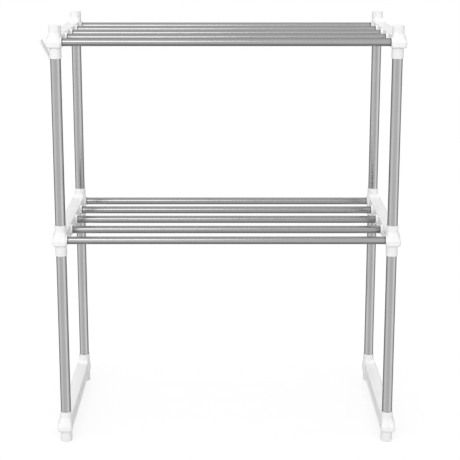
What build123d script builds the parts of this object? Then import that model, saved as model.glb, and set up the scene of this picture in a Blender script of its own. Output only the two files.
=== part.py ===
from build123d import *
import os

# Free-standing two-shelf microwave rack in steel tube and moulded plastic, in mm.
# +Z is up, the front faces -Y, and the origin is on the floor, midway between the uprights.

# overall layout, measured between tube axes
upright_span_x = 516.0
upright_span_y = 266.0
level_pitch = 308.0
level_names = ("base", "middle", "top")
shelf_levels = ("middle", "top")

# steel tubes
upright_d = 16.0
upright_wall = 0.8
shelf_tube_d = 12.0
shelf_tube_wall = 0.7
shelf_tube_pitch = 67.5
shelf_tube_count = 5

# radial play of a tube in its moulded socket
tube_play = 0.1

# side rail: heights count from the underside of its bar, and "out" counts from the
# upright's axis away from the middle of the rack
bar_height = 17.6
bar_inner_face = 7.4
bar_outer_face = 12.9
bar_wall = 2.2
bar_roof = 2.4
bar_outer_round = 3.0
bar_inner_round = 2.5
bar_bottom_round = 2.6
lip_out = 1.6
lip_height = 2.0
rib_thickness = 1.6
rib_setback = 1.5

# corner of the side rail, where two sleeves and the bar meet
sleeve_wall = 1.1
sleeve_above_bar = 15.0
sleeve_below_bar = 16.0
sleeve_straight = 10.0
flare_height = 14.0
corner_end = 12.2
corner_plan_round = 5.0
shoulder_height = 5.0
shoulder_run = 6.0

# sockets for the shelf tubes
shelf_tube_height = 8.5
shelf_tube_seat = 5.0
socket_wall = 1.9
socket_floor = 1.9
collar_standing = 3.2
collar_chamfer = 0.5
seat_web = 1.1

# plugs that close the free sleeves
cap_rim = 1.2
cap_rim_inset = 0.2
cap_rim_chamfer = 0.5
cap_depth = 12.0
cap_wall = 1.4
cap_play = 0.35
cap_rib = 0.25
cap_rib_width = 1.0
cap_rib_count = 6

# hook that hangs on the top left rail
hook_thickness = 2.4
hook_width = 22.0
hook_play = 0.3
hook_flange = 10.6
hook_drop = 61.2
hook_reach = 23.1
hook_tip_drop = 16.0
hook_bend = 5.0
hook_edge_chamfer = 0.5
hook_centre_y = -42.0

# sizes and places that follow from the ones above
upright_x = upright_span_x / 2
upright_y = upright_span_y / 2
socket_radius = shelf_tube_d / 2 + tube_play
boss_radius = socket_radius + socket_wall
bore_radius = upright_d / 2 + tube_play
sleeve_radius = bore_radius + sleeve_wall
corner_inner_face = bar_inner_face + bar_bottom_round
cap_rim_radius = sleeve_radius - cap_rim_inset
cap_barrel_radius = bore_radius - cap_play
corner_width = bar_outer_face + corner_inner_face
corner_centre = (bar_outer_face - corner_inner_face) / 2
bar_width = bar_outer_face + bar_inner_face
bar_centre = (bar_outer_face - bar_inner_face) / 2
end_ys = (-upright_y, upright_y)
collar_face = bar_inner_face + collar_standing
cavity_half_length = upright_y - corner_end
sleeve_top = bar_height + sleeve_above_bar
flare_top = sleeve_top - sleeve_straight
flare_foot = flare_top - flare_height
upper_seat = shelf_tube_height + socket_radius + seat_web
lower_seat = shelf_tube_height - socket_radius - seat_web
shelf_tube_ys = [
    (i - (shelf_tube_count - 1) / 2) * shelf_tube_pitch for i in range(shelf_tube_count)
]
bay_centre_ys = [(a + b) / 2 for a, b in zip(shelf_tube_ys, shelf_tube_ys[1:])]
bar_bottom = {
    name: cap_rim + sleeve_below_bar + i * level_pitch
    for i, name in enumerate(level_names)
}
side_sign = {"left": -1, "right": 1}
end_sign = {"front": -1, "rear": 1}


def write(part, name):
    part.label = name
    export_step(part, f"parts/{name}.step")


os.makedirs("parts", exist_ok=True)

# The side rail is drawn as the right-hand one, with its outer side towards +X and the
# upright axes at x = 0. Its two ends are alike, so the left one is the same moulding
# turned half round.

# corner block: straight at its foot, then flaring in to the round sleeve
with BuildPart() as corner:
    with BuildSketch(Plane((corner_centre, 0, 0))):
        RectangleRounded(corner_width, 2 * corner_end, corner_plan_round)
    extrude(amount=flare_foot)
    fillet(corner.edges().group_by(Axis.Z)[0], bar_bottom_round)
    with BuildSketch(Plane((corner_centre, 0, flare_foot))):
        RectangleRounded(corner_width, 2 * corner_end, corner_plan_round)
    with BuildSketch(Plane((0, 0, flare_top))):
        Circle(sleeve_radius)
    loft()


def side_rail(socket_ys):
    with BuildPart() as rail:
        # bar from axis to axis, rounded along its top and its outer lower edge
        with BuildSketch(Plane.XZ.offset(-upright_y)):
            with BuildLine():
                FilletPolyline(
                    (-bar_inner_face, 0),
                    (bar_outer_face, 0),
                    (bar_outer_face, bar_height),
                    (-bar_inner_face, bar_height),
                    radius=(0, bar_bottom_round, bar_outer_round, bar_inner_round),
                    close=True,
                )
            make_face()
        extrude(amount=upright_span_y)

        # open underside between the corners
        with BuildSketch():
            with Locations((bar_centre, 0)):
                Rectangle(bar_width - 2 * bar_wall, 2 * cavity_half_length)
        extrude(amount=bar_height - bar_roof, mode=Mode.SUBTRACT)

        # lip along the inner lower edge
        with BuildSketch():
            with Locations((-bar_inner_face, 0)):
                Rectangle(lip_out, 2 * cavity_half_length, align=(Align.MAX, Align.CENTER))
        extrude(amount=lip_height)

        # a stiffening rib across the cavity in the middle of each bay
        with BuildSketch(Plane.XY.offset(rib_setback)):
            with Locations(*[(bar_centre, y) for y in bay_centre_ys]):
                Rectangle(bar_width - bar_wall, rib_thickness)
        extrude(amount=bar_height - bar_roof - rib_setback)

        # corner blocks and the sleeves that run through them
        with Locations(*[(0, y, 0) for y in end_ys]):
            add(corner.part)
        with BuildSketch(Plane.XY.offset(-sleeve_below_bar)):
            with Locations(*[(0, y) for y in end_ys]):
                Circle(sleeve_radius)
        extrude(amount=sleeve_below_bar + sleeve_top)

        # shoulders that lead from the top of the bar up to the sleeves
        with BuildSketch(Plane.YZ.offset(bar_inner_round - bar_inner_face)):
            with BuildLine():
                sleeve_face = upright_y - sleeve_radius
                low = (sleeve_face - shoulder_run, bar_height)
                high = (sleeve_face, bar_height + shoulder_height)
                TangentArc(low, high, tangent=(1, 0))
                Polyline(high, (upright_y, high[1]), (upright_y, bar_height), low)
            make_face()
            mirror(about=Plane.YZ)
        extrude(amount=bar_width - bar_inner_round - bar_outer_round)

        if socket_ys:
            # collars on the inner face, and bosses behind them in the cavity
            with BuildSketch(Plane.YZ.offset(-collar_face)):
                with Locations(*[(y, shelf_tube_height) for y in socket_ys]):
                    Circle(boss_radius)
            extrude(amount=collar_face + shelf_tube_seat + socket_floor)
            collars = edges().filter_by(GeomType.CIRCLE).group_by(Axis.X)[0]
            chamfer(collars, collar_chamfer)

            # blind sockets for the shelf tubes
            with BuildSketch(Plane.YZ.offset(-collar_face)):
                with Locations(*[(y, shelf_tube_height) for y in socket_ys]):
                    Circle(socket_radius)
            extrude(amount=collar_face + shelf_tube_seat, mode=Mode.SUBTRACT)

        # blind bores for the uprights, from above and from below
        for seat, depth in ((upper_seat, sleeve_top), (lower_seat, -sleeve_below_bar)):
            with BuildSketch(Plane.XY.offset(seat)):
                with Locations(*[(0, y) for y in end_ys]):
                    Circle(bore_radius)
            extrude(amount=depth - seat, mode=Mode.SUBTRACT)

    return rail.part


# the base rails carry no shelf, so their inner side is plain
base_rail = side_rail(socket_ys=[])
shelf_rail = side_rail(socket_ys=shelf_tube_ys)

# steel tubes, drawn from the seat at one end to the seat at the other
with BuildPart() as upright:
    with BuildSketch():
        Circle(upright_d / 2)
        Circle(upright_d / 2 - upright_wall, mode=Mode.SUBTRACT)
    extrude(amount=level_pitch + lower_seat - upper_seat)

with BuildPart() as shelf_tube:
    with BuildSketch(Plane.YZ):
        Circle(shelf_tube_d / 2)
        Circle(shelf_tube_d / 2 - shelf_tube_wall, mode=Mode.SUBTRACT)
    extrude(amount=upright_x + shelf_tube_seat, both=True)

# plug for a free sleeve: a thin round rim, and a cup below it with ribs that grip
with BuildPart() as cap:
    with BuildSketch():
        Circle(cap_rim_radius)
    extrude(amount=cap_rim)
    chamfer(edges().group_by(Axis.Z)[-1], cap_rim_chamfer)
    with BuildSketch():
        Circle(cap_barrel_radius)
        Circle(cap_barrel_radius - cap_wall, mode=Mode.SUBTRACT)
        with PolarLocations(cap_barrel_radius, cap_rib_count):
            Rectangle(2 * cap_rib, cap_rib_width)
    extrude(amount=-cap_depth)

# hook: one bent strip, drawn on the left rail's section with its outer side towards +X
with BuildPart() as hook:
    with BuildSketch(Plane.XZ.offset(hook_width / 2)):
        with BuildLine():
            FilletPolyline(
                (-bar_inner_face - hook_play, bar_height + hook_play - hook_flange),
                (-bar_inner_face - hook_play, bar_height + hook_play),
                (bar_outer_face + hook_play, bar_height + hook_play),
                (bar_outer_face + hook_play, bar_height + hook_play - hook_drop),
                (bar_outer_face + hook_play + hook_reach, bar_height - hook_tip_drop),
                radius=(
                    bar_inner_round + hook_play,
                    bar_outer_round + hook_play,
                    hook_bend,
                ),
            )
            offset(amount=hook_thickness, side=Side.LEFT)
        make_face()
    extrude(amount=-hook_width)
    strip_sides = edges().group_by(Axis.Y)
    chamfer(strip_sides[0] + strip_sides[-1], hook_edge_chamfer)

for side, sx in side_sign.items():
    turn = 180 if sx < 0 else 0
    for level, z in bar_bottom.items():
        moulding = shelf_rail if level in shelf_levels else base_rail
        placed = moulding.moved(Location((sx * upright_x, 0, z), (0, 0, turn)))
        write(placed, f"{level}_rail_{side}")

for side, sx in side_sign.items():
    for end, sy in end_sign.items():
        x, y = sx * upright_x, sy * upright_y
        for storey, level in (("lower", "base"), ("upper", "middle")):
            foot = Location((x, y, bar_bottom[level] + upper_seat))
            write(upright.part.moved(foot), f"{storey}_upright_{end}_{side}")
        crown = Location((x, y, bar_bottom["top"] + sleeve_top))
        write(cap.part.moved(crown), f"top_cap_{end}_{side}")
        floor_end = Location((x, y, bar_bottom["base"] - sleeve_below_bar), (180, 0, 0))
        write(cap.part.moved(floor_end), f"foot_cap_{end}_{side}")

for level in shelf_levels:
    for i, y in enumerate(shelf_tube_ys, start=1):
        place = Location((0, y, bar_bottom[level] + shelf_tube_height))
        write(shelf_tube.part.moved(place), f"{level}_shelf_tube_{i}")

hung = Location((-upright_x, hook_centre_y, bar_bottom["top"]), (0, 0, 180))
write(hook.part.moved(hung), "side_hook")
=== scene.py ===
import bpy
import math
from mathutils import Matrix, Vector


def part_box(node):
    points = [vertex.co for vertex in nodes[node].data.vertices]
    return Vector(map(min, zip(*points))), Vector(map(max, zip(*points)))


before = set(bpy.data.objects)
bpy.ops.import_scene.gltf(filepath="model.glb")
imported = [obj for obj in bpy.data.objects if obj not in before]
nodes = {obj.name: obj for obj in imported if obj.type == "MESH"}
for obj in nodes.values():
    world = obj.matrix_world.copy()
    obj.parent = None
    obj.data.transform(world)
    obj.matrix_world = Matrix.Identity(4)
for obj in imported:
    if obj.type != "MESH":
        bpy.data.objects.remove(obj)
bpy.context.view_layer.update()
print("frame: %d nodes" % len(nodes))


# shader maths: a wrapped socket, so that an expression adds its own nodes

class Wire:
    def __init__(self, bench, socket):
        self.bench, self.socket = bench, socket

    def maths(self, operation, *values):
        return self.bench.add("ShaderNodeMath", {"operation": operation}, list(values))

    def __add__(self, other):
        return self.maths("ADD", self, other)

    def __radd__(self, other):
        return self.maths("ADD", other, self)

    def __sub__(self, other):
        return self.maths("SUBTRACT", self, other)

    def __rsub__(self, other):
        return self.maths("SUBTRACT", other, self)

    def __mul__(self, other):
        return self.maths("MULTIPLY", self, other)

    def __rmul__(self, other):
        return self.maths("MULTIPLY", other, self)

    def __truediv__(self, other):
        return self.maths("DIVIDE", self, other)

    def __abs__(self):
        return self.maths("ABSOLUTE", self)

    def rounded(self):
        return self.maths("ROUND", self)

    def root(self):
        return self.maths("SQRT", self)

    def wave(self):
        return self.maths("SINE", self)

    def angle(self, other):  # of the point with this height and the other's reach
        return self.maths("ARCTAN2", self, other)

    def most(self, other):
        return self.maths("MAXIMUM", self, other)

    def ramp(self, low, high):  # 0 at low, 1 at high, smooth between
        settings = {"interpolation_type": "SMOOTHSTEP"}
        sockets = {"Value": self, "From Min": low, "From Max": high}
        return self.bench.add("ShaderNodeMapRange", settings, sockets)


class Bench:
    def __init__(self, owner):
        owner.use_nodes = True
        self.tree = owner.node_tree
        self.tree.nodes.clear()

    def add(self, kind, settings=None, sockets=None, out=0):
        node = self.tree.nodes.new(kind)
        for key, value in (settings or {}).items():
            setattr(node, key, value)
        pairs = sockets.items() if isinstance(sockets, dict) else enumerate(sockets or [])
        for key, value in pairs:
            if isinstance(value, Wire):
                self.tree.links.new(value.socket, node.inputs[key])
            else:
                node.inputs[key].default_value = value
        return Wire(self, node.outputs[out]) if node.outputs else None

    def split(self, vector):
        return [self.add("ShaderNodeSeparateXYZ", {}, [vector], out=i) for i in range(3)]

    def place(self):  # the rack's own coordinates, in metres
        return self.split(self.add("ShaderNodeTexCoord", out="Object"))

    def vector(self, x, y, z):
        return self.add("ShaderNodeCombineXYZ", {}, [x, y, z])

    def noise(self, vector, scale, detail=2.0, rough=0.5):
        sockets = {"Vector": vector, "Scale": scale, "Detail": detail, "Roughness": rough}
        return self.add("ShaderNodeTexNoise", {}, sockets)

    def blend(self, mask, low, high):
        return self.add("ShaderNodeMix", {"data_type": "RGBA"}, {0: mask, 6: low, 7: high}, out=2)

    def bump(self, height, metres):
        sockets = {"Height": height, "Distance": metres, "Strength": 1.0}
        return self.add("ShaderNodeBump", {}, sockets)


def grey(level, warmth=0.0):
    return (level * (1 + warmth), level, level * (1 - warmth), 1.0)


def middle(name):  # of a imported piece's box
    low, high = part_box(name)
    return (low + high) / 2


upright, firstTube = middle("lower_upright_rear_right"), middle("middle_shelf_tube_1")
layout = {
    "halfX": upright.x,
    "halfY": upright.y,
    "tubePitch": middle("middle_shelf_tube_2").y - firstTube.y,
    "levelPitch": middle("top_shelf_tube_1").z - firstTube.z,
    "firstShelf": firstTube.z,
    "collarFace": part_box("middle_rail_right")[0].x,
}


# steel tubes: drawn steel with fine lines along the tube, a soft polish and a faint weld seam

uprightLook = {
    "name": "upright steel",
    "axis": "z",
    "darkGrey": 0.375,
    "darkWarmth": -0.004,
    "darkUpTo": 0.32,  # of the mixed textures below
    "paleGrey": 0.415,
    "paleWarmth": 0.002,
    "paleFrom": 0.68,
    "edgeTint": 0.36,
    "roughLow": 0.13,
    "roughHigh": 0.20,
    "lineWidth": 0.0006,
    "lineLength": 0.09,
    "lineHeight": 0.0000015,
    "lineShare": 0.45,
    "lineDetail": 3.0,
    "lineRagged": 0.6,
    "bandScale": 260.0,
    "bandStretch": 0.05,
    "bandShare": 0.35,
    "cloudScale": 22.0,
    "cloudShare": 0.2,
    "seamAngle": 2.4,
    "seamHalfAngle": 0.075,
    "seamGrey": 0.8,
    "seamShare": 0.3,
    "seamRough": 0.08,
    "seamHeight": 0.8,  # in heights of a line
}
shelfLook = dict(uprightLook, name="shelf steel", axis="x", darkGrey=0.365, paleGrey=0.40, seamAngle=-1.4)
tubeEndShade = {  # painted shade: a dark ring on each shelf tube just before its collar, where the collar hides the lamp's reflection; the ring is also a little rougher
    "starts": 0.0025,
    "full": 0.001,
    "grey": 0.5,
    "rough": 0.12,
}


def steel(look):
    material = bpy.data.materials.new(look["name"])
    bench = Bench(material)
    x, y, z = bench.place()
    if look["axis"] == "z":
        along, sideA, sideB = z, abs(x) - layout["halfX"], abs(y) - layout["halfY"]
    else:
        row = (y / layout["tubePitch"]).rounded()
        rise = z - layout["firstShelf"]
        level = (rise / layout["levelPitch"]).rounded()
        along, sideA, sideB = x, y - row * layout["tubePitch"], rise - level * layout["levelPitch"]
    stretch = look["lineWidth"] / look["lineLength"]
    lines = bench.vector(sideA, sideB, along * stretch)
    fine = bench.noise(lines, 1 / look["lineWidth"], look["lineDetail"], look["lineRagged"])
    bands = bench.noise(bench.vector(sideA, sideB, along * look["bandStretch"]), look["bandScale"], 1.0)
    cloudy = bench.noise(bench.vector(x, y, z), look["cloudScale"])
    seam = 1 - abs(sideB.angle(sideA) - look["seamAngle"]).ramp(0.0, look["seamHalfAngle"])
    mix = fine * look["lineShare"] + bands * look["bandShare"] + cloudy * look["cloudShare"]
    mix = mix.ramp(look["darkUpTo"], look["paleFrom"])
    dark, pale = grey(look["darkGrey"], look["darkWarmth"]), grey(look["paleGrey"], look["paleWarmth"])
    colour = bench.blend(mix, dark, pale)
    colour = bench.blend(seam * look["seamShare"], colour, grey(look["darkGrey"] * look["seamGrey"]))
    polish = (look["roughHigh"] - look["roughLow"]) * (bands * 0.5 + cloudy * 0.5)
    rough = look["roughHigh"] - polish + seam * look["seamRough"]
    if look is shelfLook:
        # painted shade: the shelf tube's colour darkens just before its collar, where the collar hides the
        # lamp's reflection; the same ring is also rougher
        endShadeFrom, endShadeTo = layout["collarFace"] - tubeEndShade["starts"], layout["collarFace"] - tubeEndShade["full"]
        endShade = abs(x).ramp(endShadeFrom, endShadeTo)
        colour = bench.blend(endShade, colour, grey(look["darkGrey"] * tubeEndShade["grey"]))
        rough = rough + endShade * tubeEndShade["rough"]
    normal = bench.bump(fine + seam * look["seamHeight"], look["lineHeight"])
    shader = bench.add("ShaderNodeBsdfPrincipled", {}, {
        "Base Color": colour, "Metallic": 1.0, "Roughness": rough, "Normal": normal,
        "Specular Tint": grey(look["edgeTint"]),
    })
    bench.add("ShaderNodeOutputMaterial", {}, [shader])
    return material


# white plastic: fine moulded grain and slow waviness, with what its mould leaves on each kind of piece

railLook = {
    "name": "rail plastic",
    "white": 0.87,
    "whiteFrom": 0.7,  # of the mixed textures below
    "shade": 0.845,
    "shadeWarmth": 0.003,
    "shadeUpTo": 0.35,
    "rough": 0.33,
    "grainSize": 0.0011,
    "grainDetail": 3.0,
    "grainRagged": 0.55,
    "grainRough": 0.10,
    "grainHeight": 0.000009,
    "slowScale": 18.0,
    "slowShare": 0.6,
    "slowRough": 0.12,
    "flowScale": 60.0,
    "flowStretch": 0.25,
    "flowShare": 0.4,
    "flowHeight": 0.000015,
}
capLook = dict(railLook, name="cap plastic", white=0.85, shade=0.82, rough=0.38)
# painted light: the hook is a paler copy of the rail plastic, standing in for light its thin front edge
# misses
hookLook = dict(railLook, name="hook plastic", white=0.90, shade=0.88, rough=0.27, grainSize=0.0016)
partingLine = {"halfWidth": 0.00035, "height": 0.00005, "grey": 0.86, "share": 0.25}
gateMark = {"radius": 0.0011, "flat": 0.6, "depth": 0.00025, "grey": 0.8, "share": 0.35}
turnedRings = {"scale": 9000.0, "height": 0.000006}


def plastic(look):
    material = bpy.data.materials.new(look["name"])
    bench = Bench(material)
    x, y, z = bench.place()
    spot = bench.vector(x, y, z)
    grain = bench.noise(spot, 1 / look["grainSize"], look["grainDetail"], look["grainRagged"])
    slow = bench.noise(spot, look["slowScale"])
    flow = bench.noise(bench.vector(x, y * look["flowStretch"], z), look["flowScale"])
    mix = (slow * look["slowShare"] + flow * look["flowShare"]).ramp(look["shadeUpTo"], look["whiteFrom"])
    colour = bench.blend(mix, grey(look["shade"], look["shadeWarmth"]), grey(look["white"]))
    rough = look["rough"] + (grain - 0.5) * look["grainRough"] + (slow - 0.5) * look["slowRough"]
    height = grain * look["grainHeight"] + flow * look["flowHeight"]
    if look is railLook:  # the two halves of the mould meet in the plane of the uprights
        line = 1 - abs(abs(x) - layout["halfX"]).ramp(0.0, partingLine["halfWidth"])
        height = height + line * partingLine["height"]
        colour = bench.blend(line * partingLine["share"], colour, grey(look["shade"] * partingLine["grey"]))
    if look is capLook:  # gate mark in the middle, and turned rings round it
        sideA, sideB = abs(x) - layout["halfX"], abs(y) - layout["halfY"]
        radius = (sideA * sideA + sideB * sideB).root()
        gate = 1 - radius.ramp(gateMark["radius"] * gateMark["flat"], gateMark["radius"])
        rings = (radius * turnedRings["scale"]).wave()
        height = height + rings * turnedRings["height"] - gate * gateMark["depth"]
        colour = bench.blend(gate * gateMark["share"], colour, grey(look["shade"] * gateMark["grey"]))
    normal = bench.bump(height, 1.0)
    shader = bench.add("ShaderNodeBsdfPrincipled", {}, {
        "Base Color": colour, "Metallic": 0.0, "Roughness": rough, "Normal": normal, "IOR": 1.5,
    })
    bench.add("ShaderNodeOutputMaterial", {}, [shader])
    return material


finishes = {
    "upright": steel(uprightLook),
    "tube": steel(shelfLook),
    "rail": plastic(railLook),
    "cap": plastic(capLook),
    "hook": plastic(hookLook),
}
print("materials: %s" % ", ".join(sorted(finishes)))

for name, piece in nodes.items():
    kind = next(word for word in finishes if word in name)
    piece.data.materials.clear()
    piece.data.materials.append(finishes[kind])
print("finishes on the packed pieces")


# floor and surroundings: white wherever the camera looks, a plain photo studio in shiny surfaces

studio = {
    "floorSize": 120.0,
    "floorGrey": 0.6,  # as it lights the rack
    "floorSeenGrey": 1.0,  # as the camera sees it
    "floorGlow": 0.8,  # how much of what the camera sees is plain white, and the rest keeps the shadow
}
# how pale the room is to shiny pieces, by height (the sine) and by compass from the front, in degrees
walls = {
    "tone": 1.05,
    "groundTone": 0.38,
    "groundFrom": 0.42,
    "groundTo": 0.93,
    "ceilingTone": 0.78,
    "ceilingFrom": 0.80,
    "behindTone": 0.38,
    "behindFrom": 80.0,
    "behindTo": 140.0,
    "behindFullUpTo": 0.05,
    "behindEndsAt": 0.35,
    "doorwayTone": 0.78,  # the room is paler again straight behind, near the floor
    "doorwayFrom": 148.0,
    "doorwayTo": 174.0,
    "doorwayFullUpTo": -0.10,
    "doorwayEndsAt": 0.02,
    "farUpTo": 0.35,  # screens and back wall fade between these heights
    "farEndsAt": 0.6,
}
screens = [  # pale screens beside the camera
    {"compass": -72, "half": 44, "tone": 0.27},
    {"compass": 63, "half": 34, "tone": 0.44},
]
screenFull = 0.25  # of its half width is at full tone
# soft light on matt surfaces: compass and height of its middle, and where it fades, in degrees
daylight = [
    {"compass": 0, "height": 10, "full": 15, "fades": 50, "tone": 1.12},
    {"compass": 0, "height": 88, "full": 5, "fades": 36, "tone": 2.15},
    {"compass": -75, "height": 18, "full": 10, "fades": 40, "tone": 0.8},
    {"compass": 57, "height": 18, "full": 10, "fades": 40, "tone": 0.76},
    {"compass": 175, "height": 18, "full": 15, "fades": 45, "tone": 0.7},
]
evenLight = {"sky": 0.31, "below": 0.15, "edge": 0.02}


def seesBackground(bench):
    path = [bench.add("ShaderNodeLightPath", out=name)
            for name in ("Is Camera Ray", "Is Glossy Ray", "Is Transmission Ray")]
    return path[0].most(path[1]).most(path[2]), path[1]


def shinyRoom(x, y, z):
    compass = x.angle(0 - y)
    down = 0 - z
    pale = 0
    for screen in screens:
        centre, half = math.radians(screen["compass"]), math.radians(screen["half"])
        pale = pale + (1 - abs(compass - centre).ramp(half * screenFull, half)) * screen["tone"]
    doorway = abs(compass).ramp(math.radians(walls["doorwayFrom"]), math.radians(walls["doorwayTo"]))
    doorway = doorway * down.ramp(-walls["doorwayEndsAt"], -walls["doorwayFullUpTo"])
    behind = abs(compass).ramp(math.radians(walls["behindFrom"]), math.radians(walls["behindTo"]))
    behind = behind * down.ramp(-walls["behindEndsAt"], -walls["behindFullUpTo"])
    backWall = behind * (walls["behindTone"] - walls["tone"])
    backWall = backWall + doorway * (walls["doorwayTone"] - walls["behindTone"])
    far = 1 - abs(z).ramp(walls["farUpTo"], walls["farEndsAt"])
    ground = down.ramp(walls["groundFrom"], walls["groundTo"]) * (walls["groundTone"] - 1)
    ceiling = z.ramp(walls["ceilingFrom"], 1.0) * (walls["ceilingTone"] - 1)
    return (pale + backWall) * far + ground + ceiling + walls["tone"]


def softLight(x, y, z):
    total = evenLight["sky"]
    for light in daylight:
        compass, height = math.radians(light["compass"]), math.radians(light["height"])
        flat = math.cos(height)
        nearness = x * (math.sin(compass) * flat) - y * (math.cos(compass) * flat) + z * math.sin(height)
        full, fades = math.cos(math.radians(light["full"])), math.cos(math.radians(light["fades"]))
        total = total + nearness.ramp(fades, full) * light["tone"]
    above = z.ramp(-evenLight["edge"], evenLight["edge"])
    return total * above + (1 - above) * evenLight["below"]


bpy.ops.object.select_all(action="DESELECT")
bpy.ops.mesh.primitive_plane_add(size=studio["floorSize"], location=(0, 0, 0))
floor = bpy.context.active_object
floor.name = "floor"
paper = bpy.data.materials.new("floor paper")
bench = Bench(paper)
background, shiny = seesBackground(bench)
paperGrey = background * (studio["floorSeenGrey"] - studio["floorGrey"]) + studio["floorGrey"]
matt = bench.add("ShaderNodeBsdfDiffuse", {}, {"Color": paperGrey})
glow = bench.add("ShaderNodeEmission", {}, {"Color": grey(1.0), "Strength": 1.0})
seen = bench.add("ShaderNodeMixShader", {}, [background * studio["floorGlow"], matt, glow])
clear = bench.add("ShaderNodeBsdfTransparent", {}, {"Color": grey(1.0)})
below = bench.add("ShaderNodeNewGeometry", out="Backfacing")
# clear to shiny pieces, and from below, so that the underside can be looked at
mixed = bench.add("ShaderNodeMixShader", {}, [shiny.most(below), seen, clear])
bench.add("ShaderNodeOutputMaterial", {}, [mixed])
floor.data.materials.append(paper)

scene = bpy.context.scene
scene.world = bpy.data.worlds.new("studio")
bench = Bench(scene.world)
background, shiny = seesBackground(bench)
x, y, z = bench.split(bench.add("ShaderNodeTexCoord", out="Generated"))
lit = bench.add("ShaderNodeBackground", {}, {"Color": grey(1.0), "Strength": softLight(x, y, z)})
tone = shinyRoom(x, y, z) * shiny + (1 - shiny)
white = bench.add("ShaderNodeBackground", {}, {"Color": grey(1.0), "Strength": tone})
mixed = bench.add("ShaderNodeMixShader", {}, [background, lit, white])
bench.add("ShaderNodeOutputWorld", {}, [mixed])

# the lamp whose reflection runs along the shelf tubes: glow counts the white background as 1
lamp = {"from": (-1.9, -3.75, 3.0), "aim": (0, 0, 0.34), "size": (4.1, 1.9), "glow": 2.3}
light = bpy.data.lights.new("key strip", "AREA")
light.shape = "RECTANGLE"
light.size, light.size_y = lamp["size"]
light.energy = lamp["glow"] * math.pi * light.size * light.size_y
holder = bpy.data.objects.new("key strip", light)
holder.location = lamp["from"]
holder.rotation_euler = (Vector(lamp["aim"]) - holder.location).to_track_quat("-Z", "Y").to_euler()
scene.collection.objects.link(holder)
print("studio set")


# camera: in front and above the top shelf, looking down a little

view = {
    "place": (0.0, -2.009, 0.834),
    "pitch": 12.568,
    "lens": 97.42,
    "sensor": 36.0,
    "shift": (0.0077, -0.09),
    "nearest": 0.05,
    "furthest": 200.0,
}
camera = bpy.data.objects.new("camera", bpy.data.cameras.new("camera"))
camera.data.lens = view["lens"]
camera.data.sensor_width = view["sensor"]
camera.data.shift_x, camera.data.shift_y = view["shift"]
camera.data.clip_start, camera.data.clip_end = view["nearest"], view["furthest"]
camera.location = view["place"]
camera.rotation_euler = (math.radians(90 - view["pitch"]), 0, 0)
scene.collection.objects.link(camera)
scene.camera = camera
scene.view_settings.view_transform = "Standard"
print("camera set")
